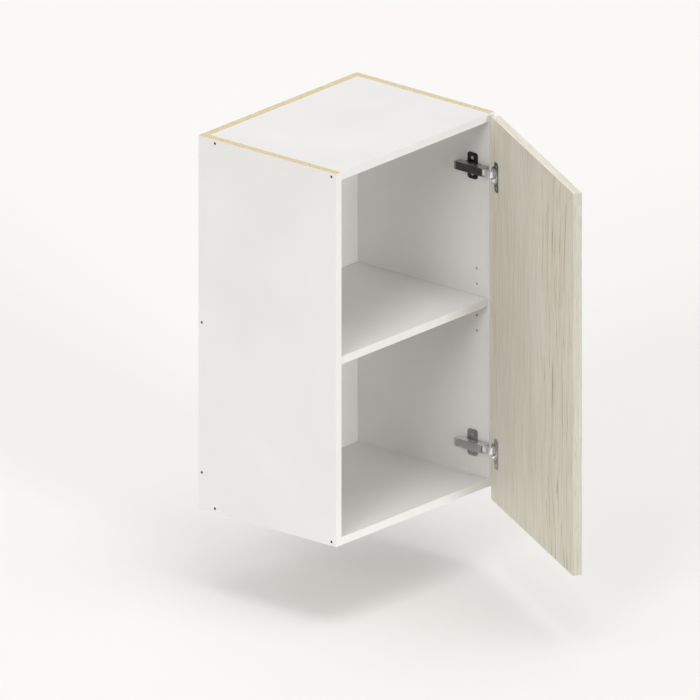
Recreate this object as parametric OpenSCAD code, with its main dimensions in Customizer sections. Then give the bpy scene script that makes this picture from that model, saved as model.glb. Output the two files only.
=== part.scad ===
// Hanging wall cabinet, 475 mm wide: five boards, one shelf and one door on two concealed hinges.
// The origin is the centre of the carcass's rear face, which lies on the wall.
// +X is to the right, -Y is the front and +Z is up. The door is drawn 60 degrees open.

/* [Carcass] */
// Width over both side panels
cab_w = 475; // [400:1:600]
// Height of the side panels
cab_h = 768; // [768:32:960]
// Depth from the wall to the front edges
cab_d = 350; // [330:1:400]
// Thickness of every carcass board
board_t = 16; // [15:1:16]
// Thickness of the edge banding
band_t = 0.8; // [0.4:0.1:1.5]

/* [Shelf] */
// Height of the middle shelf hole above the cabinet's centre
shelf_z = -6; // [-90:1:90]
// How far the shelf's front edge stands behind the side panels' front edges
shelf_set_back = 4; // [2:1:12]
// Play between each shelf end and its side panel
shelf_play = 0.5; // [0.3:0.1:1]
// Distance of the front row of shelf holes from the front
hole_front = 31.5; // [30:0.5:40]
// Distance from the front row to the rear shelf pin
pin_span = 256; // [224:32:256]

/* [Door] */
// Thickness of the door
door_t = 18; // [16:1:22]
// Gap from the door's top edge down from the carcass's top
door_top_gap = 1; // [0:1:4]
// How far the door hangs below the carcass, as a finger pull
door_overhang = 21; // [15:1:40]

/* [Hinges] */
// Height of the upper hinge above the cabinet's centre
upper_hinge_z = 268; // [200:1:300]
// Height of the lower hinge above the cabinet's centre
lower_hinge_z = -302; // [-320:1:-200]

/* [Hangers] */
// Height of a hanger's housing
hanger_h = 62; // [62:1:66]
// Depth of a hanger's housing
hanger_d = 46; // [44:1:60]
// Width of a hanger's housing
hanger_w = 18; // [18:1:22]

/* [Hidden] */
eps = 0.01;
fine = 48;
side_x = cab_w / 2;
inner_x = side_x - board_t;
top_z = cab_h / 2;
inner_top = top_z - board_t;

// Boards' edge joints: depths of the screws and dowels, measured from the wall
screw_rear = 41.5;
screw_front = cab_d - 12.5;
edge_z = top_z - board_t / 2;
back_edge_y = board_t / 2;
low_back_screw_z = 75 - top_z;
dowel_ys = [120, 250];
dowel_r = 4;
dowel_l = 30;
dowel_in_side = 11;
back_screw_xs = [-150, 0, 150];

// Confirmat screws: a sunk cylindrical head with a hexagon socket on a plain shank
head_r = 2.8;
head_l = 3;
sunk = 0.8;
shank_r = 2.4;
side_screw_l = 48;
socket_r = 1.75;
socket_deep = 2;
hole_room = 0.05;

// Shelf and its holes
hole_pitch = 32;
hole_d = 5;
shelf_t = board_t;
shelf_front_y = cab_d - shelf_set_back;
shelf_rear_y = board_t + 1;
shelf_l = 2 * (inner_x - shelf_play);
pin_deep = 9;
pin_out = 9;
pin_front_y = cab_d - hole_front;
pin_rear_y = pin_front_y - pin_span;
groove_play = 0.3;
groove_h = hole_d + groove_play;
groove_deep = 10;

// Door
door_side_gap = 1.5;
door_w = cab_w - 2 * door_side_gap;
door_h = cab_h - door_top_gap + door_overhang;
door_low = top_z - door_top_gap - door_h;
door_open = 60;

// Hinge plan: x runs forward from the front edges and y runs to the right from the side's outer face
corner = [12, -24.4];
pin_in = 9;
pin_deep_in_door = 3.2;
cup_pin_at = corner + pin_in * [sin(door_open), -cos(door_open)]
    + pin_deep_in_door * [cos(door_open), sin(door_open)];
arm_pin_at = [-1, -33.13];
arm_pin_r = 1.5;
cup_pin_r = 1.4;
run_gap = 0.03;
link_t = 1.4;
link_half = 6.5;
link_wide_half = 6.8;
eye_r = 2.1;
link_knees = [[7.4, -32], [16.8, -35.3], [23, -31.8]];
link_line = concat([arm_pin_at], link_knees, [cup_pin_at]);

// Hinge arm: a channel that straddles the mounting plate and ends in a nose round the link
arm_rear = -71.5;
arm_gap = [-16.6, -15.3];
arm_nose = -1.5;
nose_tip = 3;
web_out = -36.8;
nose_out = -38;
nose_t = 0.8;
sheet_t = 1.2;
cheek_in = 7;
cheek_out = 8;
arm_low = -22;
nose_low = -17.6;
cover_out = -38;
cover_rear = -66;
set_screw_r = 3;
side_screw_at = -27;
depth_screw_at = -50;

// Mounting plate
plate_in = 41;
plate_t = 2.2;
plate_half = 27;
wing_w = 25;
plate_screw_z = 16;
boss_x = [-58, -20];
boss_half = 6.6;
boss_top = -29;
wood_screw_r = 1.9;
plate_head_r = 4;
plate_screw_l = 13.5;

// Hinge cup
cup_in = 22;
cup_r = 17.5;
cup_wall_r = 16.75;
cup_deep = 12;
flange_t = 1.1;
flange_r = 18.8;
wing_in = [21, 44];
wing_half = 31;
corner_r = 8;
cup_screw_in = 31.5;
cup_screw_z = 22.5;
cup_head_r = 2.6;
cup_shank_r = 1.7;
cup_screw_l = 12;

// Hangers, measured down from the top panel, and the windows that their hooks reach through
window_w = 20;
window_h = 42;
window_side = 2;
window_low = inner_top - 50;
hanger_low = inner_top - 68;
hanger_wall = 2;
hanger_front_wall = 6;
hanger_end_wall = 4;
hanger_side_wall = 3;
hook_t = 6;
hook_h = 12;
hook_side = 9;
hook_z = inner_top - 32;
hook_y = [-48, -2];
tooth_t = 3;
tooth_h = 9;
hook_slot_r = 1.6;
hanger_x = inner_x - hanger_w;
hanger_y = [-board_t - hanger_d, -board_t];
hook_x = inner_x - hook_side - hook_t;
hook_middle = hook_x + hook_t / 2;
fix_y = -46;
fix_heights = [14, 48];
fix_head_r = 3;
fix_shank_r = 1.5;
fix_l = 14;
set_heights = [10, 52];
set_r = 3;
set_head_r = 4.2;
set_head_l = 1.5;
set_l = 12;
cap_wall = 1.2;
cap_front = 5;
cap_over = 6;

// ---------- shared shapes ----------

// A board, or a block, from its lowest and highest corners
module block(low, high) {
    translate(low) cube(high - low);
}

// Turns a shape drawn along +Z so that it runs along +X
module along_x() {
    rotate([0, 90, 0]) children();
}

// Turns a shape drawn along +Z so that it runs along +Y
module along_y() {
    rotate([-90, 0, 0]) children();
}

// Hinge plan: x forward, y to the right, from the right side's outer front edge
module hinge_plan(z) {
    translate([side_x, -cab_d, z]) rotate([0, 0, -90]) children();
}

// The door's own plan: x into the door from its inner face, -y from its hinge edge
module door_plan(z) {
    hinge_plan(z) translate([corner.x, corner.y, 0]) rotate([0, 0, door_open]) children();
}

// The right half of a shape, or its mirror image on the left
module on_side(right) {
    mirror([right ? 0 : 1, 0, 0]) children();
}

// Where a side's screws go: [distance from the wall, height]
side_screw_spots = [
    [screw_rear, edge_z], [screw_front, edge_z],
    [screw_rear, -edge_z], [screw_front, -edge_z],
    [back_edge_y, 0], [back_edge_y, low_back_screw_z],
];

module at_side_screws() {
    for (s = side_screw_spots) translate([side_x, -s[0], s[1]]) rotate([0, -90, 0]) children();
}

// Screw that runs along +Z from its sunk head
module confirmat(length) {
    difference() {
        union() {
            translate([0, 0, sunk]) cylinder(r = head_r, h = head_l, $fn = fine);
            translate([0, 0, sunk + head_l]) cylinder(r = shank_r, h = length - head_l, $fn = fine);
        }
        translate([0, 0, sunk - eps]) cylinder(r = socket_r, h = socket_deep, $fn = 6);
    }
}

module confirmat_hole(length) {
    translate([0, 0, -eps]) cylinder(r = head_r + hole_room, h = sunk + head_l + eps, $fn = fine);
    cylinder(r = shank_r, h = length + sunk + eps, $fn = fine);
}

module at_dowels() {
    for (y = dowel_ys, z = [edge_z, -edge_z])
        translate([inner_x + dowel_in_side, -y, z]) rotate([0, -90, 0]) children();
}

module dowel() {
    cylinder(r = dowel_r, h = dowel_l, $fn = fine);
}

module at_back_screws() {
    for (x = back_screw_xs, z = [edge_z, -edge_z])
        translate([x, 0, z]) rotate([90, 0, 0]) children();
}

// Shelf holes of the right side: the front row and the one rear hole that the shelf hides
module at_shelf_holes(rows) {
    for (k = rows) translate([inner_x, -pin_front_y, shelf_z + k * hole_pitch]) children();
    translate([inner_x, -pin_rear_y, shelf_z]) children();
}

// The conical sink for a countersunk head, along +Z from the surface
module sink(head, shank) {
    translate([0, 0, -eps]) cylinder(r1 = head + eps, r2 = shank, h = head - shank + eps, $fn = fine);
}

// Countersunk screw along +Z from its flat head
module wood_screw(head, shank, length) {
    cone = head - shank;
    difference() {
        union() {
            cylinder(r1 = head, r2 = shank, h = cone, $fn = fine);
            cylinder(r = shank, h = length, $fn = fine);
        }
        for (a = [0, 90]) rotate([0, 0, a]) block([-head * 0.55, -0.4, -eps], [head * 0.55, 0.4, 1]);
    }
}

// ---------- boards ----------

// The right side panel, before it is mirrored for the left
module side_board(hinged) {
    difference() {
        block([inner_x, -cab_d + band_t, -top_z + band_t], [side_x, 0, top_z]);
        at_side_screws() confirmat_hole(side_screw_l);
        at_dowels() dowel();
        at_shelf_holes([-2:2]) along_x() cylinder(d = hole_d, h = pin_deep + 1, $fn = fine);
        if (hinged)
            for (z = [upper_hinge_z, lower_hinge_z], k = [-1, 1])
                translate([inner_x, -cab_d + plate_in, z + k * plate_screw_z])
                    along_x() cylinder(r = wood_screw_r, h = 12, $fn = fine);
        at_hanger_screws() along_x()
            cylinder(r = fix_shank_r, h = fix_l - hanger_side_wall, $fn = fine);
    }
}

module left_side() {
    color("whitesmoke") on_side(false) side_board(false);
}

module right_side() {
    color("whitesmoke") on_side(true) side_board(true);
}

// A panel between the sides and in front of the back, at the top (up = 1) or bottom (up = -1)
module cross_board(up) {
    low = up > 0 ? inner_top : -top_z;
    difference() {
        block([-inner_x, -cab_d + band_t, low], [inner_x, -board_t, low + board_t]);
        for (right = [true, false]) on_side(right) {
            at_side_screws() confirmat_hole(side_screw_l);
            at_dowels() dowel();
        }
        at_back_screws() confirmat_hole(side_screw_l);
    }
}

module top_panel() {
    color("white") cross_board(1);
}

module bottom_panel() {
    color("white") cross_board(-1);
}

module back_panel() {
    color("whitesmoke") difference() {
        block([-inner_x, -board_t, -top_z], [inner_x, 0, top_z]);
        for (right = [true, false]) on_side(right) {
            at_side_screws() confirmat_hole(side_screw_l);
            translate([inner_x - window_w - window_side, -board_t - 1, window_low])
                cube([window_w, board_t + 2, window_h]);
        }
        at_back_screws() confirmat_hole(side_screw_l);
    }
}

module shelf() {
    z = shelf_z - shelf_t / 2;
    color("white") difference() {
        block([-shelf_l / 2, -shelf_front_y + band_t, z], [shelf_l / 2, -shelf_rear_y, z + shelf_t]);
        // Grooves in both ends let the shelf slide back over its pins
        for (side = [-1, 1])
            translate([side * shelf_l / 2, -pin_front_y, shelf_z - groove_play / 2]) {
                translate([-groove_deep, 0, -groove_h / 2])
                    cube([2 * groove_deep, pin_front_y, groove_h]);
                translate([-groove_deep, 0, 0]) along_x()
                    cylinder(d = groove_h, h = 2 * groove_deep, $fn = fine);
            }
    }
}

// ---------- edge banding of the carcass ----------

module side_front_band() {
    block([inner_x, -cab_d, -top_z + band_t], [side_x, -cab_d + band_t, top_z]);
}

module side_bottom_band() {
    block([inner_x, -cab_d, -top_z], [side_x, 0, -top_z + band_t]);
}

module left_front_band() {
    color("white") on_side(false) side_front_band();
}

module right_front_band() {
    color("white") on_side(true) side_front_band();
}

module left_bottom_band() {
    color("white") on_side(false) side_bottom_band();
}

module right_bottom_band() {
    color("white") on_side(true) side_bottom_band();
}

module cross_band(low) {
    color("white") block([-inner_x, -cab_d, low], [inner_x, -cab_d + band_t, low + board_t]);
}

module top_front_band() {
    cross_band(inner_top);
}

module bottom_front_band() {
    cross_band(-top_z);
}

module shelf_front_band() {
    z = shelf_z - shelf_t / 2;
    color("white")
        block([-shelf_l / 2, -shelf_front_y, z], [shelf_l / 2, -shelf_front_y + band_t, z + shelf_t]);
}

// ---------- door ----------

module at_cups() {
    for (z = [upper_hinge_z, lower_hinge_z]) translate([0, -cup_in, z - door_low]) children();
}

module door_panel() {
    color("wheat") door_plan(door_low) difference() {
        block([0, -door_w + band_t, band_t], [door_t, -band_t, door_h - band_t]);
        at_cups() {
            along_x() translate([0, 0, -eps]) cylinder(r = cup_r, h = cup_deep + 0.3, $fn = 96);
            for (k = [-1, 1])
                translate([-eps, cup_in - cup_screw_in, k * cup_screw_z])
                    along_x() cylinder(r = cup_shank_r, h = cup_screw_l, $fn = fine);
        }
    }
}

module door_hinge_band() {
    color("tan") door_plan(door_low) block([0, -band_t, band_t], [door_t, 0, door_h - band_t]);
}

module door_free_band() {
    color("tan") door_plan(door_low)
        block([0, -door_w, band_t], [door_t, -door_w + band_t, door_h - band_t]);
}

module door_top_band() {
    color("tan") door_plan(door_low) block([0, -door_w, door_h - band_t], [door_t, 0, door_h]);
}

module door_bottom_band() {
    color("tan") door_plan(door_low) block([0, -door_w, 0], [door_t, 0, band_t]);
}

// ---------- fasteners of the carcass ----------

module left_side_screws() {
    color("dimgray") on_side(false) at_side_screws() confirmat(side_screw_l);
}

module right_side_screws() {
    color("dimgray") on_side(true) at_side_screws() confirmat(side_screw_l);
}

module back_screws() {
    color("dimgray") at_back_screws() confirmat(side_screw_l);
}

module left_dowels() {
    color("burlywood") on_side(false) at_dowels() dowel();
}

module right_dowels() {
    color("burlywood") on_side(true) at_dowels() dowel();
}

// Four plain pins, hidden in the grooves of the shelf
module shelf_pins() {
    color("silver") for (right = [true, false]) on_side(right) at_shelf_holes([0])
        translate([-pin_out, 0, 0]) along_x()
            cylinder(d = hole_d, h = pin_out + pin_deep, $fn = fine);
}

// ---------- concealed hinge ----------

// Plate outline: two lobes above and below a waist, with rounded corners
module plate_outline() {
    round_r = 6;
    for (x = [-1, 1], z = [-1, 1])
        translate([x * (wing_w / 2 - round_r), z * (plate_half - round_r)])
            circle(r = round_r, $fn = fine);
    square([wing_w - 2 * round_r, 2 * plate_half], center = true);
    square([wing_w, 2 * (plate_half - round_r)], center = true);
}

// The plate on the side's inner face. Its outline is drawn in x and z, and it stands out along -y.
module plate(z) {
    color("dimgray") hinge_plan(z) difference() {
        union() {
            translate([-plate_in, -board_t, 0]) rotate([90, 0, 0])
                linear_extrude(plate_t) plate_outline();
            block([boss_x[0], boss_top, -boss_half], [boss_x[1], -board_t, boss_half]);
        }
        for (k = [-1, 1])
            translate([-plate_in, -board_t - plate_t, k * plate_screw_z]) along_y() {
                cylinder(r = wood_screw_r, h = plate_t + 1, $fn = fine);
                sink(plate_head_r, wood_screw_r);
            }
        for (x = [side_screw_at, depth_screw_at])
            translate([x, boss_top - eps, 0]) along_y() cylinder(r = 1.5, h = 10, $fn = fine);
    }
}

module plate_screws(z) {
    color("silver") hinge_plan(z) for (k = [-1, 1])
        translate([-plate_in, -board_t - plate_t, k * plate_screw_z]) along_y()
            wood_screw(plate_head_r, wood_screw_r, plate_screw_l);
}

// Side view of one cheek of the arm, in the hinge plan
cheek_points = [
    [arm_rear, web_out], [arm_rear, -27], [arm_rear + 4, arm_low], [-14, arm_low],
    [-3, nose_low], [0, nose_low], [nose_tip - 0.5, arm_low], [nose_tip, arm_pin_at.y - 1.4],
    [arm_nose + 1, nose_out], [arm_gap[1], nose_out], [arm_gap[1], web_out],
];

module arm(z) {
    color("gray") hinge_plan(z) difference() {
        union() {
            for (low = [-cheek_out, cheek_in])
                translate([0, 0, low]) linear_extrude(cheek_out - cheek_in) polygon(cheek_points);
            block([arm_rear, web_out, -cheek_in], [arm_gap[0], web_out + sheet_t, cheek_in]);
            block([arm_gap[0], nose_out + nose_t / 2, -cheek_in],
                [arm_gap[1] + sheet_t / 2, web_out + sheet_t, cheek_in]);
            block([arm_gap[1], nose_out, -cheek_in], [arm_nose, nose_out + nose_t, cheek_in]);
        }
        translate([arm_pin_at.x, arm_pin_at.y, -cheek_out - 1])
            cylinder(r = arm_pin_r, h = 2 * cheek_out + 2, $fn = fine);
        for (x = [side_screw_at, depth_screw_at])
            translate([x, web_out - eps, 0]) along_y()
                cylinder(r = set_screw_r - 0.8, h = sheet_t + 1, $fn = fine);
    }
}

// Snap-on cover over the arm's set screws, rounded down at the rear
module arm_cover(z) {
    screw_room = 2.2;
    color("gray") hinge_plan(z) difference() {
        union() {
            block([cover_rear, cover_out, -cheek_out], [arm_gap[0], web_out, cheek_out]);
            intersection() {
                translate([cover_rear, cover_out + 8, -cheek_out])
                    cylinder(r = 8, h = 2 * cheek_out, $fn = 64);
                block([cover_rear - 8, cover_out, -cheek_out], [cover_rear, web_out, cheek_out]);
            }
        }
        for (x = [side_screw_at, depth_screw_at])
            translate([x, web_out - 0.7, 0]) along_y()
                cylinder(r = set_screw_r + 0.2, h = screw_room, $fn = fine);
    }
}

// Set screw with a low head under the cover, along +y into the plate's boss
module set_screw(z, x) {
    color("silver") hinge_plan(z) translate([x, web_out - 0.6, 0]) along_y() difference() {
        union() {
            cylinder(r = set_screw_r, h = 0.6, $fn = fine);
            cylinder(r = 2.1, h = 1.8, $fn = fine);
            cylinder(r = 1.5, h = boss_top + 9 - web_out, $fn = fine);
        }
        for (a = [0, 90]) rotate([0, 0, a]) block([-1.6, -0.35, -eps], [1.6, 0.35, 0.5]);
    }
}

// Leaf spring in the channel, bearing towards the link's eye
module spring(z) {
    color("silver") hinge_plan(z) translate([0, 0, -4]) linear_extrude(8)
        polygon([[-18, web_out + sheet_t], [-12, web_out + sheet_t], [-4.4, -33.6], [-4.2, -32.6],
            [-4.9, -32.6], [-12.4, web_out + sheet_t + 0.7], [-18, web_out + sheet_t + 0.7]]);
}

module arm_pin(z) {
    color("silver") hinge_plan(z) translate([arm_pin_at.x, arm_pin_at.y, -cheek_out])
        cylinder(r = arm_pin_r, h = 2 * cheek_out, $fn = fine);
}

// Points of a smooth curve through the link's knees, eased at both ends (a Catmull-Rom curve)
function curve_point(p, q, r, s, t) =
    0.5 * (2 * q + (r - p) * t + (2 * p - 5 * q + 4 * r - s) * t * t
        + (3 * q - p - 3 * r + s) * t * t * t);
link_ends = concat([2 * link_line[0] - link_line[1]], link_line, [2 * link_line[4] - link_line[3]]);
curve_steps = 7;
link_curve = concat(
    [for (i = [1:4], k = [0:curve_steps - 1])
        curve_point(link_ends[i - 1], link_ends[i], link_ends[i + 1], link_ends[i + 2],
            k / curve_steps)],
    [link_line[4]]);
function unit(v) = v / norm(v);
function across(path, i) =
    let (d = unit(path[min(i + 1, len(path) - 1)] - path[max(i - 1, 0)])) [-d.y, d.x];
function strip(path, thick) = concat(
    [for (i = [0:len(path) - 1]) path[i] + across(path, i) * thick / 2],
    [for (i = [len(path) - 1:-1:0]) path[i] - across(path, i) * thick / 2]);

// Bent sheet that joins the arm to the cup, curled into an eye at each end
module link(z) {
    last = len(link_curve) - 1;
    middle = [for (i = [5:last - 9]) link_curve[i]];
    color("gainsboro") hinge_plan(z) difference() {
        union() {
            translate([0, 0, -link_half]) linear_extrude(2 * link_half)
                polygon(strip(link_curve, link_t));
            translate([0, 0, -link_wide_half]) linear_extrude(2 * link_wide_half)
                polygon(strip(middle, link_t));
            for (p = [arm_pin_at, cup_pin_at])
                translate([p.x, p.y, -link_half]) cylinder(r = eye_r, h = 2 * link_half, $fn = fine);
        }
        translate([arm_pin_at.x, arm_pin_at.y, -link_half - 1])
            cylinder(r = arm_pin_r + run_gap, h = 2 * link_half + 2, $fn = fine);
        translate([cup_pin_at.x, cup_pin_at.y, -link_half - 1])
            cylinder(r = cup_pin_r + run_gap, h = 2 * link_half + 2, $fn = fine);
    }
}

// The pin across the cup ends inside the cup's wall
cup_pin_half = sqrt(pow(cup_wall_r + 0.65, 2) - pow(cup_in - pin_in + cup_pin_r, 2));

module cup_pin_bar() {
    translate([pin_deep_in_door, cup_in - pin_in, -cup_pin_half])
        cylinder(r = cup_pin_r, h = 2 * cup_pin_half, $fn = fine);
}

module cup_pin(z) {
    color("silver") door_plan(z) translate([0, -cup_in, 0]) cup_pin_bar();
}

// Flange outline in x (towards the door's free edge) and y (up), about the cup's centre
module flange_outline() {
    near = wing_in[0] - cup_in;
    far = wing_in[1] - cup_in;
    circle(r = flange_r, $fn = 96);
    for (s = [-1, 1], x = [near + corner_r, far - corner_r])
        translate([x, s * (wing_half - corner_r)]) circle(r = corner_r, $fn = fine);
    translate([near + corner_r, -wing_half]) square([far - near - 2 * corner_r, 2 * wing_half]);
    translate([near, -wing_half + corner_r]) square([far - near, 2 * (wing_half - corner_r)]);
}

module cup(z) {
    color("silver") door_plan(z) translate([0, -cup_in, 0]) difference() {
        union() {
            along_x() cylinder(r = cup_r - 0.05, h = cup_deep, $fn = 96);
            translate([-flange_t, 0, 0]) rotate([0, 90, 0]) rotate([0, 0, -90])
                linear_extrude(flange_t) flange_outline();
        }
        along_x() translate([0, 0, -flange_t - 1])
            cylinder(r = cup_wall_r, h = cup_deep + flange_t, $fn = 96);
        cup_pin_bar();
        for (k = [-1, 1])
            translate([-flange_t, cup_in - cup_screw_in, k * cup_screw_z]) along_x() {
                cylinder(r = cup_shank_r, h = flange_t + 1, $fn = fine);
                sink(cup_head_r, cup_shank_r);
            }
    }
}

module cup_screws(z) {
    color("silver") door_plan(z) for (k = [-1, 1])
        translate([-flange_t, -cup_screw_in, k * cup_screw_z]) along_x()
            wood_screw(cup_head_r, cup_shank_r, cup_screw_l);
}

module upper_plate() {
    plate(upper_hinge_z);
}

module upper_plate_screws() {
    plate_screws(upper_hinge_z);
}

module upper_arm() {
    arm(upper_hinge_z);
}

module upper_arm_cover() {
    arm_cover(upper_hinge_z);
}

module upper_side_screw() {
    set_screw(upper_hinge_z, side_screw_at);
}

module upper_depth_screw() {
    set_screw(upper_hinge_z, depth_screw_at);
}

module upper_spring() {
    spring(upper_hinge_z);
}

module upper_arm_pin() {
    arm_pin(upper_hinge_z);
}

module upper_link() {
    link(upper_hinge_z);
}

module upper_cup_pin() {
    cup_pin(upper_hinge_z);
}

module upper_cup() {
    cup(upper_hinge_z);
}

module upper_cup_screws() {
    cup_screws(upper_hinge_z);
}

module lower_plate() {
    plate(lower_hinge_z);
}

module lower_plate_screws() {
    plate_screws(lower_hinge_z);
}

module lower_arm() {
    arm(lower_hinge_z);
}

module lower_arm_cover() {
    arm_cover(lower_hinge_z);
}

module lower_side_screw() {
    set_screw(lower_hinge_z, side_screw_at);
}

module lower_depth_screw() {
    set_screw(lower_hinge_z, depth_screw_at);
}

module lower_spring() {
    spring(lower_hinge_z);
}

module lower_arm_pin() {
    arm_pin(lower_hinge_z);
}

module lower_link() {
    link(lower_hinge_z);
}

module lower_cup_pin() {
    cup_pin(lower_hinge_z);
}

module lower_cup() {
    cup(lower_hinge_z);
}

module lower_cup_screws() {
    cup_screws(lower_hinge_z);
}

// ---------- hangers ----------

module at_hanger_screws() {
    for (h = fix_heights) translate([inner_x, fix_y, hanger_low + h]) children();
}

module at_set_screws() {
    for (h = set_heights)
        translate([hook_middle, hanger_y[0], hanger_low + h]) along_y() children();
}

// Housing: a box that is open towards the back panel's window
module hanger_housing() {
    difference() {
        block([hanger_x, hanger_y[0], hanger_low], [inner_x, hanger_y[1], hanger_low + hanger_h]);
        block([hanger_x + hanger_wall, hanger_y[0] + hanger_front_wall, hanger_low + hanger_end_wall],
            [inner_x - hanger_side_wall, hanger_y[1] + eps, hanger_low + hanger_h - hanger_end_wall]);
        at_set_screws() translate([0, 0, -eps])
            cylinder(r = set_r, h = 2 * hanger_front_wall, $fn = fine);
        at_hanger_screws() translate([-hanger_side_wall, 0, 0]) along_x() {
            cylinder(r = fix_shank_r, h = 2 * hanger_side_wall, $fn = fine);
            sink(fix_head_r, fix_shank_r);
        }
        // Driver holes in the inner wall, opposite the fixing screws
        at_hanger_screws() translate([-hanger_w - eps, 0, 0]) along_x()
            cylinder(r = fix_head_r, h = 2 * hanger_wall, $fn = fine);
    }
}

// Hook: a flat bar with a tooth that drops behind the rail on the wall
module hanger_hook() {
    difference() {
        union() {
            block([hook_x, hook_y[0], hook_z], [hook_x + hook_t, hook_y[1], hook_z + hook_h]);
            block([hook_x, hook_y[1] - tooth_t, hook_z - tooth_h],
                [hook_x + hook_t, hook_y[1], hook_z + eps]);
        }
        translate([hook_middle, hook_y[0] + hook_h / 2, hook_z - eps])
            cylinder(r = hook_slot_r, h = hook_h + 1, $fn = fine);
    }
}

// Two set screws, reached from the front: one for height and one for depth
module hanger_set_screws() {
    at_set_screws() translate([0, 0, -set_head_l]) difference() {
        union() {
            cylinder(r = set_r, h = set_l, $fn = fine);
            cylinder(r = set_head_r, h = set_head_l, $fn = fine);
        }
        for (a = [0, 90]) rotate([0, 0, a]) block([-2, -0.5, -eps], [2, 0.5, 1]);
    }
}

// Clip-on cap over the front of the housing
module hanger_cover() {
    front = hanger_y[0] - cap_front;
    difference() {
        block([hanger_x - cap_wall, front, hanger_low - cap_wall],
            [inner_x, hanger_y[0] + cap_over, hanger_low + hanger_h + cap_wall]);
        block([hanger_x, front + cap_wall, hanger_low],
            [inner_x + eps, hanger_y[0] + cap_over + eps, hanger_low + hanger_h]);
    }
}

module hanger_screws() {
    at_hanger_screws() translate([-hanger_side_wall, 0, 0]) along_x()
        wood_screw(fix_head_r, fix_shank_r, fix_l);
}

module left_hanger_housing() {
    color("white") on_side(false) hanger_housing();
}

module left_hanger_hook() {
    color("silver") on_side(false) hanger_hook();
}

module left_hanger_set_screws() {
    color("silver") on_side(false) hanger_set_screws();
}

module left_hanger_cover() {
    color("white") on_side(false) hanger_cover();
}

module left_hanger_screws() {
    color("silver") on_side(false) hanger_screws();
}

module right_hanger_housing() {
    color("white") on_side(true) hanger_housing();
}

module right_hanger_hook() {
    color("silver") on_side(true) hanger_hook();
}

module right_hanger_set_screws() {
    color("silver") on_side(true) hanger_set_screws();
}

module right_hanger_cover() {
    color("white") on_side(true) hanger_cover();
}

module right_hanger_screws() {
    color("silver") on_side(true) hanger_screws();
}

left_side();
right_side();
top_panel();
bottom_panel();
back_panel();
shelf();
door_panel();
left_front_band();
right_front_band();
left_bottom_band();
right_bottom_band();
top_front_band();
bottom_front_band();
shelf_front_band();
door_hinge_band();
door_free_band();
door_top_band();
door_bottom_band();
left_side_screws();
right_side_screws();
back_screws();
left_dowels();
right_dowels();
shelf_pins();
upper_plate();
upper_plate_screws();
upper_arm();
upper_arm_cover();
upper_side_screw();
upper_depth_screw();
upper_spring();
upper_arm_pin();
upper_link();
upper_cup_pin();
upper_cup();
upper_cup_screws();
lower_plate();
lower_plate_screws();
lower_arm();
lower_arm_cover();
lower_side_screw();
lower_depth_screw();
lower_spring();
lower_arm_pin();
lower_link();
lower_cup_pin();
lower_cup();
lower_cup_screws();
left_hanger_housing();
left_hanger_hook();
left_hanger_set_screws();
left_hanger_cover();
left_hanger_screws();
right_hanger_housing();
right_hanger_hook();
right_hanger_set_screws();
right_hanger_cover();
right_hanger_screws();
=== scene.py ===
import math
import bmesh
import bpy
import numpy as np
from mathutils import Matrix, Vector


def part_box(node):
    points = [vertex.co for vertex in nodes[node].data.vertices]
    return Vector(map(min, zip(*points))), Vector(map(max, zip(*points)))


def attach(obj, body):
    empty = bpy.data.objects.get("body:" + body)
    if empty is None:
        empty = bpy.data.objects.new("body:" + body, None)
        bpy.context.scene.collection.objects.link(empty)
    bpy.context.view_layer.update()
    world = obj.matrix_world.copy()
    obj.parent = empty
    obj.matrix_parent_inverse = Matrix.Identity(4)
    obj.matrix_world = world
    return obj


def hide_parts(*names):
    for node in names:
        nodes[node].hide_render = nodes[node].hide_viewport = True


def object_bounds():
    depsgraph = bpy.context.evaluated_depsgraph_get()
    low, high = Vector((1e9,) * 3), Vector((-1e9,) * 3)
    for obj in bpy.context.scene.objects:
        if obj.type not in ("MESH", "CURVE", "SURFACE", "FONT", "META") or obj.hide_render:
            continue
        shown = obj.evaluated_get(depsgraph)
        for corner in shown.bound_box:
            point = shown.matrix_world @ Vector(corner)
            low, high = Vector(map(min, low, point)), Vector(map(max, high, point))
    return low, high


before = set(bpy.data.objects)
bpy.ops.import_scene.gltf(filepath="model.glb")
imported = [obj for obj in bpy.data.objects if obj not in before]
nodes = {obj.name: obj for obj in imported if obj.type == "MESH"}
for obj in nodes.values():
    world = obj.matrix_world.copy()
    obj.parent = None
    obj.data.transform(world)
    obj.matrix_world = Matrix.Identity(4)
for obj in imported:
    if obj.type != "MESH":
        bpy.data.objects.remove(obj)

cadLow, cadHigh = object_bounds()   # the CAD box, before anything is added
doorOpen = math.radians(60)   # how far the door stands open at rest
noiseLow, noiseHigh = 0.3, 0.7   # most of a noise lies between these
print("frame loaded:", len(nodes), "nodes")


# small makers for the shader nodes that every finish uses

def linear(r, g, b):
    # sRGB numbers from 0 to 255 as the linear colour that a shader takes, by the sRGB curve
    c = np.array([r, g, b]) / 255.0
    return tuple(np.where(c <= 0.04045, c / 12.92, ((c + 0.055) / 1.055) ** 2.4)) + (1.0,)


def scaled(colour, factor):
    # a linear colour made darker or lighter, and still opaque
    return tuple(np.array(colour[:3]) * factor) + (1.0,)


def newMaterial(name, colour, roughness=0.5, metallic=0.0, specular=0.5):
    material = bpy.data.materials.new(name)
    material.use_nodes = True
    tree = material.node_tree
    shader = tree.nodes["Principled BSDF"]
    shader.inputs["Base Color"].default_value = colour
    shader.inputs["Roughness"].default_value = roughness
    shader.inputs["Metallic"].default_value = metallic
    shader.inputs["Specular IOR Level"].default_value = specular
    material.diffuse_color = colour
    return material, tree, shader


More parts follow.
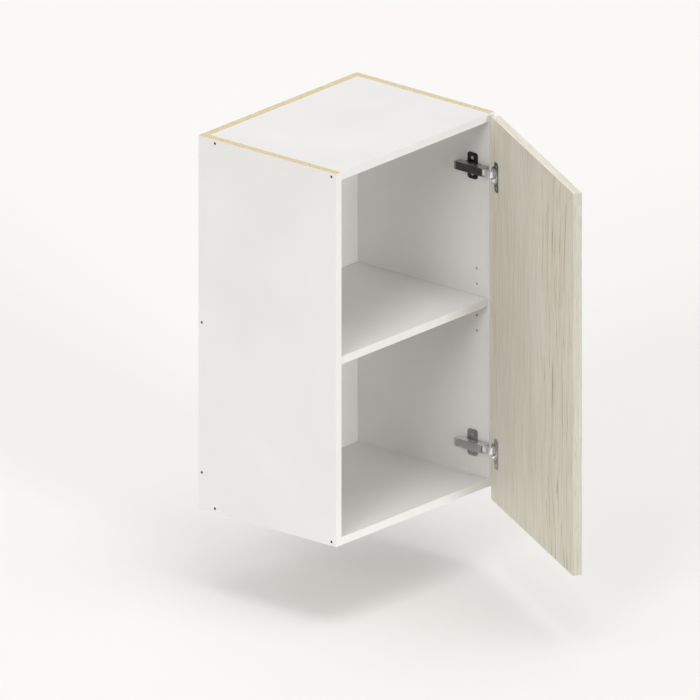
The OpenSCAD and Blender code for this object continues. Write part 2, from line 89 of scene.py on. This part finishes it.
def objectCoords(tree, turn=0.0, shift=(0, 0, 0)):
    # the piece's own place in metres, turned about Z and then moved
    coords = tree.nodes.new("ShaderNodeTexCoord")
    place = tree.nodes.new("ShaderNodeMapping")
    place.inputs["Rotation"].default_value = (0, 0, turn)
    place.inputs["Location"].default_value = shift
    tree.links.new(coords.outputs["Object"], place.inputs["Vector"])
    return place.outputs["Vector"]


def stretched(tree, vector, stretch, shift=(0, 0, 0)):
    # vector times stretch plus shift: a larger number makes a pattern change faster that way
    scale = tree.nodes.new("ShaderNodeVectorMath")
    scale.operation = "MULTIPLY_ADD"
    scale.inputs[1].default_value = stretch
    scale.inputs[2].default_value = shift
    tree.links.new(vector, scale.inputs[0])
    return scale.outputs[0]


def noise(tree, vector, scale=1.0, detail=2.0, rough=0.5, distortion=0.0):
    n = tree.nodes.new("ShaderNodeTexNoise")
    n.inputs["Scale"].default_value = scale
    n.inputs["Detail"].default_value = detail
    n.inputs["Roughness"].default_value = rough
    n.inputs["Distortion"].default_value = distortion
    tree.links.new(vector, n.inputs["Vector"])
    return n.outputs["Fac"]


def combined(tree, operation, a, b):
    m = tree.nodes.new("ShaderNodeMath")
    m.operation = operation
    tree.links.new(a, m.inputs[0])
    tree.links.new(b, m.inputs[1])
    return m.outputs[0]


def ramp(tree, factor, stops):
    r = tree.nodes.new("ShaderNodeValToRGB")
    while len(r.color_ramp.elements) < len(stops):
        r.color_ramp.elements.new(0.5)
    for element, (place, colour) in zip(r.color_ramp.elements, stops):
        element.position = place
        element.color = colour
    tree.links.new(factor, r.inputs["Fac"])
    return r.outputs["Color"]


def toneStops(look, stops):
    # stops that name a colour of a finish's dictionary
    return [(place, linear(*look[tone])) for place, tone in stops]


def greyStops(stops):
    # stops that give one number, the same for red, green and blue
    return [(place, (grey, grey, grey, 1.0)) for place, grey in stops]


def twoTones(tree, factor, dark, light):
    return ramp(tree, factor, [(noiseLow, dark), (noiseHigh, light)])


def levels(tree, factor, low, high, fromLow=noiseLow, fromHigh=noiseHigh):
    # low where the factor is at fromLow or less, and high where it is at fromHigh or more
    m = tree.nodes.new("ShaderNodeMapRange")
    m.inputs["From Min"].default_value = fromLow
    m.inputs["From Max"].default_value = fromHigh
    m.inputs["To Min"].default_value = low
    m.inputs["To Max"].default_value = high
    tree.links.new(factor, m.inputs["Value"])
    return m.outputs["Result"]


def blendColours(tree, factor, a, b, mode="MIX"):
    m = tree.nodes.new("ShaderNodeMix")
    m.data_type = "RGBA"
    m.blend_type = mode
    for socket, value in (("Factor_Float", factor), ("A_Color", a), ("B_Color", b)):
        target = next(i for i in m.inputs if i.identifier == socket)
        if isinstance(value, bpy.types.NodeSocket):
            tree.links.new(value, target)
        else:
            target.default_value = value
    return next(o for o in m.outputs if o.identifier == "Result_Color")


def bumpFrom(tree, shader, height, strength, distance, under=None):
    # the height as a bump, over another bump where there is one
    b = tree.nodes.new("ShaderNodeBump")
    b.inputs["Strength"].default_value = strength
    b.inputs["Distance"].default_value = distance
    tree.links.new(height, b.inputs["Height"])
    if under is not None:
        tree.links.new(under, b.inputs["Normal"])
    tree.links.new(b.outputs["Normal"], shader.inputs["Normal"])
    return b.outputs["Normal"]


# finishes of the boards

melamine = {
    "light": (230, 228, 226), "shade": (225, 223, 221), "specular": 0.25,
    "cloud": 5.0, "gloss": 60.0, "roughLow": 0.40, "roughHigh": 0.52,
    "pearl": 1500.0, "pearlBump": 0.35, "pearlHeight": 0.00006,
}
edgeBand = dict(melamine, light=(230, 229, 227), shade=(226, 225, 223),
                roughLow=0.32, roughHigh=0.42)


def makeMelamine(name, look):
    # two near whites mixed by a slow cloud, over the fine pearl that such a foil is pressed with
    light, shade = linear(*look["light"]), linear(*look["shade"])
    material, tree, shader = newMaterial(name, light, specular=look["specular"])
    place = objectCoords(tree)
    cloud = noise(tree, place, look["cloud"], detail=3.0)
    tree.links.new(twoTones(tree, cloud, shade, light), shader.inputs["Base Color"])
    gloss = noise(tree, place, look["gloss"])
    tree.links.new(levels(tree, gloss, look["roughLow"], look["roughHigh"]),
                   shader.inputs["Roughness"])
    pearl = noise(tree, place, look["pearl"], detail=1.0)
    bumpFrom(tree, shader, pearl, look["pearlBump"], look["pearlHeight"])
    return material


chipboard = {
    "pale": (223, 207, 176), "sand": (212, 193, 156), "brown": (186, 163, 122),
    "dark": (148, 124, 88), "clear": (255, 255, 255), "rough": 0.85, "specular": 0.2,
    "chip": 620.0, "chipStretch": (1.0, 0.6, 1.0), "chipBump": 0.5, "chipHeight": 0.0003,
    "chipTones": [(0.0, "brown"), (0.25, "sand"), (0.7, "pale"), (1.0, "sand")],
    "fibre": 1500.0, "fibreTones": [(0.28, "dark"), (0.42, "clear")], "fibreShare": 0.55,
}


def makeChipboard():
    # pressed chips: one tone for each cell, broken up by finer fibres and a few dark gaps
    look = chipboard
    material, tree, shader = newMaterial("rawChipboard", linear(*look["sand"]), look["rough"],
                                         specular=look["specular"])
    place = objectCoords(tree)
    cells = tree.nodes.new("ShaderNodeTexVoronoi")
    cells.inputs["Scale"].default_value = look["chip"]
    tree.links.new(stretched(tree, place, look["chipStretch"]), cells.inputs["Vector"])
    tone = tree.nodes.new("ShaderNodeSeparateColor")
    tree.links.new(cells.outputs["Color"], tone.inputs["Color"])
    chips = ramp(tree, tone.outputs["Red"], toneStops(look, look["chipTones"]))
    fibres = ramp(tree, noise(tree, place, look["fibre"], detail=3.0, rough=0.6),
                  toneStops(look, look["fibreTones"]))
    tree.links.new(blendColours(tree, look["fibreShare"], chips, fibres, "MULTIPLY"),
                   shader.inputs["Base Color"])
    bumpFrom(tree, shader, cells.outputs["Distance"], look["chipBump"], look["chipHeight"])
    return material


# the door's oak decor

oak = {
    "turn": math.pi - doorOpen, "shift": (-0.2069, -0.3656, 0.0),   # X then runs along the width
    "grey": (226, 223, 208), "pale": (230, 225, 209), "warm": (225, 217, 198),
    "streak": (190, 172, 137), "vein": (170, 152, 118), "pore": (180, 164, 134),
    "roughLow": 0.44, "roughHigh": 0.58, "specular": 0.3,
    # how the fibres lean to the side, by up to reach metres: slowly, and in short waves
    "sway": {"stretch": (3.0, 3.0, 1.6), "reach": 0.02},
    "wobble": {"stretch": (14.0, 14.0, 8.0), "detail": 3.0, "rough": 0.6, "reach": 0.0022},
    # the layers, from the widest to the finest; strength is how much of the colour comes through
    "broad": {"stretch": (16.0, 16.0, 0.7), "detail": 3.0, "rough": 0.55,
              "tones": [(0.30, "warm"), (0.45, "pale"), (0.58, "grey"), (0.72, "warm")]},
    "lines": {"stretch": (150.0, 150.0, 3.6), "detail": 6.0, "rough": 0.66,
              "strength": 0.48, "from": (0.55, 0.72)},
    "rings": {"stretch": (13.0, 13.0, 1.15), "shift": (4.4, 0.0, 0.1), "scale": 3.2,
              "distortion": 3.0, "detail": 4.0, "detailScale": 1.6,
              "strength": 0.42, "from": (0.72, 1.0)},
    "ringed": {"stretch": (7.0, 7.0, 2.2), "shift": (2.0, 0.0, 0.5), "detail": 1.0,
               "strength": 1.0, "from": (0.48, 0.62)},
    "veins": {"stretch": (210.0, 210.0, 5.5), "shift": (0.0, 0.0, 4.0), "detail": 4.0,
              "rough": 0.6, "distortion": 0.3, "strength": 0.9, "from": (0.56, 0.64)},
    "pores": {"stretch": (900.0, 900.0, 28.0), "rough": 0.6,
              "strength": 0.45, "from": (0.60, 0.72), "bump": 0.3, "height": 0.00015},
    "fine": {"stretch": (420.0, 420.0, 7.0), "detail": 4.0, "rough": 0.6,
             "dark": 0.87, "light": 1.08, "bump": 0.25, "height": 0.0001},
    # the part of the width, in metres, over which the veins' share rises and falls
    "veined": (0.14, 0.50),
    "veinShare": [(0.0, 0.25), (0.36, 0.25), (0.48, 1.0), (0.78, 1.0), (1.0, 0.3)],
}


def drawnOut(tree, place, layer):
    # a noise over the place times the layer's stretch, so that it changes least along Z
    return noise(tree, stretched(tree, place, layer["stretch"], layer.get("shift", (0, 0, 0))),
                 1.0, layer.get("detail", 2.0), layer.get("rough", 0.5),
                 layer.get("distortion", 0.0))


def maskOf(tree, factor, layer, figure=1.0):
    return levels(tree, factor, 0.0, layer["strength"] * figure, *layer["from"])


def leaning(tree, place):
    # the place moved along X by the sum of the sway and the wobble
    lean = [levels(tree, drawnOut(tree, place, oak[name]), -oak[name]["reach"], oak[name]["reach"])
            for name in ("sway", "wobble")]
    bend = tree.nodes.new("ShaderNodeCombineXYZ")
    tree.links.new(combined(tree, "ADD", *lean), bend.inputs["X"])
    moved = tree.nodes.new("ShaderNodeVectorMath")   # adds, as it is made
    tree.links.new(place, moved.inputs[0])
    tree.links.new(bend.outputs["Vector"], moved.inputs[1])
    return moved.outputs[0]


def ringLines(tree, place):
    # arches: rings about Y, long in Z, and pushed about by the wave's own noise
    layer = oak["rings"]
    rings = tree.nodes.new("ShaderNodeTexWave")
    rings.wave_type = "RINGS"
    rings.rings_direction = "Y"
    rings.wave_profile = "SIN"
    rings.inputs["Scale"].default_value = layer["scale"]
    rings.inputs["Distortion"].default_value = layer["distortion"]
    rings.inputs["Detail"].default_value = layer["detail"]
    rings.inputs["Detail Scale"].default_value = layer["detailScale"]
    tree.links.new(stretched(tree, place, layer["stretch"], layer["shift"]),
                   rings.inputs["Vector"])
    return rings.outputs["Fac"]


def makeOak(name, lighten=1.0, laid=False, figure=1.0):
    # broad tones, then lines, rings, veins and pores laid over them, all times a fine shade
    look = oak
    material, tree, shader = newMaterial(name, linear(*look["pale"]), specular=look["specular"])
    place = objectCoords(tree, look["turn"], look["shift"])
    if laid:   # the grain of the bands at the top and bottom runs along them
        lay = tree.nodes.new("ShaderNodeMapping")
        lay.inputs["Rotation"].default_value = (0, math.radians(90), 0)
        tree.links.new(place, lay.inputs["Vector"])
        place = lay.outputs["Vector"]
    swayed = leaning(tree, place)
    colour = ramp(tree, drawnOut(tree, swayed, look["broad"]),
                  toneStops(look, look["broad"]["tones"]))
    lineMask = maskOf(tree, drawnOut(tree, swayed, look["lines"]), look["lines"])
    colour = blendColours(tree, lineMask, colour, linear(*look["streak"]))
    ringMask = combined(tree, "MULTIPLY",
                        maskOf(tree, ringLines(tree, swayed), look["rings"], figure),
                        maskOf(tree, drawnOut(tree, place, look["ringed"]), look["ringed"]))
    colour = blendColours(tree, ringMask, colour, linear(*look["streak"]))
    across = tree.nodes.new("ShaderNodeSeparateXYZ")
    tree.links.new(place, across.inputs["Vector"])
    width = levels(tree, across.outputs["X"], 0.0, 1.0, *look["veined"])
    veinMask = combined(tree, "MULTIPLY",
                        maskOf(tree, drawnOut(tree, swayed, look["veins"]), look["veins"], figure),
                        ramp(tree, width, greyStops(look["veinShare"])))
    colour = blendColours(tree, veinMask, colour, linear(*look["vein"]))
    pores = drawnOut(tree, swayed, look["pores"])
    colour = blendColours(tree, maskOf(tree, pores, look["pores"]), colour, linear(*look["pore"]))
    layer = look["fine"]
    fine = drawnOut(tree, swayed, layer)
    # lighten scales the whole decor; its 0.68 on the long edge bands is painted shade
    shades = ramp(tree, fine, greyStops([(noiseLow, layer["dark"] * lighten),
                                         (noiseHigh, layer["light"] * lighten)]))
    tree.links.new(blendColours(tree, 1.0, colour, shades, "MULTIPLY"),
                   shader.inputs["Base Color"])
    tree.links.new(levels(tree, fine, look["roughLow"], look["roughHigh"]),
                   shader.inputs["Roughness"])
    poreBump = bumpFrom(tree, shader, pores, look["pores"]["bump"], look["pores"]["height"])
    bumpFrom(tree, shader, fine, layer["bump"], layer["height"], poreBump)
    return material


# metals, plastics and plain wood

metal = {
    "brush": (900.0, 60.0, 900.0), "brushBump": 0.15, "brushHeight": 0.00003,
    "cloud": 130.0, "mottling": 0.06,
}


def makeMetal(name, tone, roughLow, roughHigh):
    # plated steel: brushed along Y, with slow mottling in its tone
    look, colour = metal, linear(*tone)
    material, tree, shader = newMaterial(name, colour, metallic=1.0)
    place = objectCoords(tree)
    cloud = noise(tree, place, look["cloud"], detail=3.0)
    tree.links.new(twoTones(tree, cloud, scaled(colour, 1 - look["mottling"]),
                            scaled(colour, 1 + look["mottling"])),
                   shader.inputs["Base Color"])
    brushed = noise(tree, stretched(tree, place, look["brush"]))
    tree.links.new(levels(tree, brushed, roughLow, roughHigh), shader.inputs["Roughness"])
    bumpFrom(tree, shader, brushed, look["brushBump"], look["brushHeight"])
    return material


plastic = {
    "tone": (232, 231, 227), "specular": 0.4, "cloud": 25.0, "darkest": 0.96,
    "gloss": 400.0, "roughLow": 0.40, "roughHigh": 0.55,
    "spark": 2600.0, "sparkBump": 0.3, "sparkHeight": 0.00005,
}


def makePlastic(name, look):
    # moulded plastic: one tone with a faint cloud, and the fine spark texture of its mould
    colour = linear(*look["tone"])
    material, tree, shader = newMaterial(name, colour, specular=look["specular"])
    place = objectCoords(tree)
    tree.links.new(twoTones(tree, noise(tree, place, look["cloud"]),
                            scaled(colour, look["darkest"]), colour),
                   shader.inputs["Base Color"])
    tree.links.new(levels(tree, noise(tree, place, look["gloss"]),
                          look["roughLow"], look["roughHigh"]), shader.inputs["Roughness"])
    spark = noise(tree, place, look["spark"], detail=1.0)
    bumpFrom(tree, shader, spark, look["sparkBump"], look["sparkHeight"])
    return material


beechWood = {
    "plain": (214, 178, 132), "fleck": (176, 136, 92), "pale": (220, 186, 142),
    "tones": [(0.3, "fleck"), (0.6, "pale")], "rough": 0.6, "specular": 0.25,
    "stretch": (60.0, 900.0, 900.0), "grainBump": 0.3, "grainHeight": 0.0001,
}


def makeBeech():
    # pale beech with short dark flecks along the dowel, which lies along X
    look = beechWood
    material, tree, shader = newMaterial("beech", linear(*look["plain"]), look["rough"],
                                         specular=look["specular"])
    grain = noise(tree, stretched(tree, objectCoords(tree), look["stretch"]),
                  detail=4.0, rough=0.6)
    tree.links.new(ramp(tree, grain, toneStops(look, look["tones"])), shader.inputs["Base Color"])
    bumpFrom(tree, shader, grain, look["grainBump"], look["grainHeight"])
    return material


whiteBoard = makeMelamine("whiteMelamine", melamine)
whiteEdge = makeMelamine("whiteEdgeBand", edgeBand)
rawChipboard = makeChipboard()
oakBoard = makeOak("oakDecor")
oakEdge = makeOak("oakEdgeBand", lighten=0.96, laid=True, figure=0.15)
# the long edge bands are the same oak band as the top and bottom ones, made darker by
# lighten=0.68: painted shade
shadedOakLongEdge = makeOak("shadedOakLongEdgeBand", lighten=0.68, figure=0.15)
# one plated nickel in lit and shaded copies: the dark tones paint shade on the upper hinge, the
# light tones paint light on the lower hinge, and the two brightest paint highlights and
# reflections
shadedPlateNickel = makeMetal("shadedPlateNickel", (62, 62, 64), 0.28, 0.42)
shadedNickel = makeMetal("shadedNickel", (92, 92, 94), 0.30, 0.45)
litPlateNickel = makeMetal("litPlateNickel", (166, 166, 168), 0.28, 0.42)
litNickel = makeMetal("litNickel", (192, 192, 194), 0.30, 0.44)
halfLitNickel = makeMetal("halfLitNickel", (178, 178, 180), 0.28, 0.42)
brightlyLitNickel = makeMetal("brightlyLitNickel", (226, 225, 223), 0.16, 0.28)
linkNickelPaintedReflection = makeMetal("linkNickelPaintedReflection", (246, 246, 245), 0.30, 0.42)
springSteel = makeMetal("springSteel", (180, 180, 182), 0.25, 0.35)
zincPlate = makeMetal("zincPlate", (202, 205, 210), 0.30, 0.42)
darkScrew = makeMetal("darkScrew", (84, 82, 80), 0.35, 0.5)
hangerPlastic = makePlastic("hangerPlastic", plastic)
beech = makeBeech()
print("materials made:", len(bpy.data.materials))


# how a piece is put in

making = {
    "weld": 1e-6, "flat": math.radians(0.5),   # points closer, and faces flatter, become one
    "sharp": math.radians(32),   # edges sharper than this are eased
    "facing": 0.9, "touching": 1e-4,   # how square a face is to an axis, and how near a plane
}
facing, touching = making["facing"], making["touching"]


def softenEdges(piece, ease, steps, smooth):
    # a Bevel rounds the sharp edges by ease metres, and leaves the flat faces flat
    piece.data.polygons.foreach_set("use_smooth", np.full(len(piece.data.polygons), smooth))
    bevel = piece.modifiers.new("softEdges", "BEVEL")
    bevel.width = ease
    bevel.segments = steps
    bevel.limit_method = "ANGLE"
    bevel.angle_limit = making["sharp"]
    bevel.harden_normals = smooth
    bevel.use_clamp_overlap = True


def mergedCopy(nodeName, pieceName, body, materials, ease, steps=2, smooth=True):
    # a copy of a CAD node with its loose triangles merged and its edges eased
    mesh = bpy.data.meshes.new(pieceName)
    bm = bmesh.new()
    bm.from_mesh(nodes[nodeName].data)
    bmesh.ops.remove_doubles(bm, verts=bm.verts, dist=making["weld"])
    bmesh.ops.dissolve_limit(bm, angle_limit=making["flat"], verts=bm.verts, edges=bm.edges)
    bm.to_mesh(mesh)
    bm.free()
    piece = bpy.data.objects.new(pieceName, mesh)
    bpy.context.scene.collection.objects.link(piece)
    for material in materials:
        mesh.materials.append(material)
    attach(piece, body)
    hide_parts(nodeName)
    softenEdges(piece, ease, steps, smooth)
    return piece


def gathered(items, attribute):
    # a three-number attribute of every face or point, as the rows of one array
    values = np.empty(len(items) * 3, np.float32)
    items.foreach_get(attribute, values)
    return values.reshape(-1, 3)


def paintFaces(piece, index, chosen):
    # the material of each face that chosen(centres, normals) picks, as whole arrays
    faces = piece.data.polygons
    current = np.empty(len(faces), np.int32)
    faces.foreach_get("material_index", current)
    picked = chosen(gathered(faces, "center"), gathered(faces, "normal"))
    faces.foreach_set("material_index", np.where(picked, index, current).astype(np.int32))


# carcass
carcass = {"boardEase": 0.00035, "bandEase": 0.00012, "steps": 2}
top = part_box("left_side")[1].z


def addBoard(name, pieceName, finishes):
    return mergedCopy(name, pieceName, "cabinet", finishes,
                      carcass["boardEase"], carcass["steps"], smooth=False)


for name in ("left_side", "right_side", "back_panel"):   # raw on top, and at one more edge
    board = addBoard(name, name + "_board", [whiteBoard, rawChipboard])
    paintFaces(board, 1, lambda c, n: (n[:, 2] > facing) & (c[:, 2] > top - touching))
    if name == "back_panel":
        paintFaces(board, 1, lambda c, n: n[:, 2] < -facing)
    else:
        paintFaces(board, 1, lambda c, n: (n[:, 1] > facing) & (c[:, 1] > -touching))
for name in ("top_panel", "bottom_panel"):
    addBoard(name, name + "_board", [whiteBoard])
shelfBoard = addBoard("shelf", "shelf_board", [whiteBoard, rawChipboard])
paintFaces(shelfBoard, 1, lambda c, n: (np.abs(n[:, 0]) > 0.5) | (n[:, 1] > 0.5))   # ends, rear
for name in ("left_front_band", "right_front_band", "left_bottom_band", "right_bottom_band",
             "top_front_band", "bottom_front_band", "shelf_front_band"):
    mergedCopy(name, name + "_strip", "cabinet", [whiteEdge],
               carcass["bandEase"], carcass["steps"], smooth=False)
print("carcass made")

# door
door = {"ease": 0.0002, "steps": 2}
mergedCopy("door_panel", "door_board", "door", [oakBoard],
           door["ease"], door["steps"], smooth=False)
# the long bands take the darker copy, painted shade
for name, finish in (("door_hinge_band", shadedOakLongEdge), ("door_free_band", shadedOakLongEdge),
                     ("door_top_band", oakEdge), ("door_bottom_band", oakEdge)):
    mergedCopy(name, name + "_strip", "door", [finish],
               door["ease"], door["steps"], smooth=False)
print("door made")

# hinges
hinge = {
    # the upper hinge takes the shaded copies of the nickel, painted shade, and the lower hinge the
    # lit copies, painted light
    "upper": {"plate": shadedPlateNickel, "cover": shadedNickel, "cheek": halfLitNickel,
              "flange": shadedNickel},
    "lower": {"plate": litPlateNickel, "cover": litNickel, "cheek": brightlyLitNickel,
              "flange": halfLitNickel},
    "armEase": 0.0004, "armSteps": 3, "linkEase": 0.00025, "cupEase": 0.0003,
    "smallEase": 0.00015, "rearCap": 0.0025,   # how much of the cover's rear end is painted brighter, in the cheek's tone
    "small": (
        ("plate_screws", "cabinet", "zinc_steel", zincPlate),
        ("cup_screws", "door", "zinc_steel", brightlyLitNickel),
        ("side_screw", "cabinet", "zinc_steel", zincPlate),
        ("depth_screw", "cabinet", "zinc_steel", zincPlate),
        ("spring", "cabinet", "steel", springSteel),
        ("arm_pin", "cabinet", "steel", springSteel),
        ("cup_pin", "door", "steel", springSteel)),
}
outward = np.array([-math.sin(doorOpen), math.cos(doorOpen), 0.0])   # from the door's inner face
for which in ("upper", "lower"):
    look, ease, steps = hinge[which], hinge["armEase"], hinge["armSteps"]
    mergedCopy(which + "_plate", which + "_hinge_plate", "cabinet",
               [look["plate"]], ease, steps)
    arm = mergedCopy(which + "_arm", which + "_hinge_arm", "cabinet",
                     [look["cover"], look["cheek"]], ease, steps)
    paintFaces(arm, 1, lambda c, n: np.abs(n[:, 2]) > facing)   # the cheeks
    cover = mergedCopy(which + "_arm_cover", which + "_hinge_cover", "cabinet",
                       [look["cover"], look["cheek"]], ease, steps)
    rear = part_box(which + "_arm_cover")[1].y - hinge["rearCap"]
    paintFaces(cover, 1, lambda c, n: c[:, 1] > rear)
    # the link's near-white nickel is a painted reflection of the bright floor and sky
    mergedCopy(which + "_link", which + "_hinge_link", "hinge_links",
               [linkNickelPaintedReflection], hinge["linkEase"])
    cup = mergedCopy(which + "_cup", which + "_hinge_cup", "door",
                     [brightlyLitNickel, look["flange"]], hinge["cupEase"])
    # the flange's flat front face takes the hinge's painted flange tone, darker on the upper
    # hinge; the rest of the cup keeps the bright nickel, which paints highlights along its rim
    reach = (gathered(cup.data.vertices, "co") @ outward).max()
    paintFaces(cup, 1, lambda c, n: (c @ outward > reach - touching) & (n @ outward > facing))
    for part, body, slotName, finish in hinge["small"]:
        mergedCopy(which + "_" + part, which + "_hinge_" + part, body,
                   [finish], hinge["smallEase"])
print("hinges made")

# hangers
hanger = {
    "ease": 0.0004,
    "parts": (
        ("housing", "hanger_plastic", hangerPlastic), ("cover", "hanger_plastic", hangerPlastic),
        ("hook", "zinc_steel", zincPlate), ("set_screws", "zinc_steel", zincPlate),
        ("screws", "zinc_steel", zincPlate)),
}
for side in ("left", "right"):
    for part, slotName, finish in hanger["parts"]:
        body = side + "_hook" if part == "hook" else "cabinet"
        mergedCopy(side + "_hanger_" + part, side + "_hanger_" + part + "_piece", body,
                   [finish], hanger["ease"])
print("hangers made")

# fasteners inside the boards
fastener = {"screwEase": 0.0002, "dowelEase": 0.0006, "pinEase": 0.0005}
for name in ("left_side_screws", "right_side_screws", "back_screws"):
    mergedCopy(name, name + "_set", "cabinet", [darkScrew], fastener["screwEase"])
for name in ("left_dowels", "right_dowels"):
    mergedCopy(name, name + "_set", "cabinet", [beech], fastener["dowelEase"])
mergedCopy("shelf_pins", "shelf_pin_set", "cabinet", [zincPlate],
           fastener["pinEase"])
print("fasteners made")


# floor, light and camera
studio = {
    "floorDrop": 0.15, "floorHalf": 9.0, "floorColour": (234, 233, 231),
    "floorRough": 0.9, "floorSpecular": 0.1,
    "horizon": 0.07, "zenith": 1.06,   # how bright the sky is, low down and overhead
    "above": {"from": (-0.08, -0.2, 0.97), "power": 0.78, "softness": math.radians(34.0)},
    "left": {"from": (-0.86, -0.25, 0.44), "power": 0.74, "softness": math.radians(20.0)},
    "front": {"from": (-0.34, -0.91, 0.22), "power": 1.26, "softness": math.radians(14.0)},
    "lampDistance": 3.0,
    "lookAt": (-0.196, -0.350, 0.011), "back": (-0.7183, -0.6086, 0.3371),
    "span": 1.3576, "cameraDistance": 4.0, "clipEnd": 50.0,
}

floorZ = cadLow.z - studio["floorDrop"]
half = studio["floorHalf"]
corners = [(x * half, y * half, floorZ) for x, y in ((-1, -1), (1, -1), (1, 1), (-1, 1))]
floorMesh = bpy.data.meshes.new("floor")
floorMesh.from_pydata(corners, [], [(0, 1, 2, 3)])
floor = bpy.data.objects.new("floor", floorMesh)
bpy.context.scene.collection.objects.link(floor)
floorMaterial, floorTree, floorShader = newMaterial(
    "paleFloor", linear(*studio["floorColour"]), studio["floorRough"],
    specular=studio["floorSpecular"])
floorMesh.materials.append(floorMaterial)

world = bpy.data.worlds.new("studio")
world.use_nodes = True
sky = world.node_tree
skyCoords = sky.nodes.new("ShaderNodeTexCoord")
skyHeight = sky.nodes.new("ShaderNodeSeparateXYZ")
sky.links.new(skyCoords.outputs["Generated"], skyHeight.inputs["Vector"])
sky.links.new(ramp(sky, levels(sky, skyHeight.outputs["Z"], 0.0, 1.0, 0.0, 1.0),
                   greyStops([(0.0, studio["horizon"]), (1.0, studio["zenith"])])),
              sky.nodes["Background"].inputs["Color"])
bpy.context.scene.world = world


def aimAt(thing, target):
    direction = np.array(target) - np.array(thing.location)
    thing.rotation_euler = Vector(direction).to_track_quat("-Z", "Y").to_euler()


for name in ("above", "left", "front"):
    look = studio[name]
    light = bpy.data.lights.new(name, "SUN")
    light.energy = look["power"]
    light.angle = look["softness"]
    lamp = bpy.data.objects.new(name, light)
    lamp.location = tuple(np.array(look["from"]) * studio["lampDistance"])
    bpy.context.scene.collection.objects.link(lamp)
    aimAt(lamp, (0, 0, 0))

lens = bpy.data.cameras.new("camera")
lens.type = "ORTHO"
lens.ortho_scale = studio["span"]
lens.clip_end = studio["clipEnd"]
camera = bpy.data.objects.new("camera", lens)
lookAt, back = np.array(studio["lookAt"]), np.array(studio["back"])
camera.location = tuple(lookAt + back * studio["cameraDistance"])
bpy.context.scene.collection.objects.link(camera)
aimAt(camera, tuple(lookAt))
bpy.context.scene.camera = camera
bpy.context.scene.view_settings.view_transform = "Standard"
print("studio made")
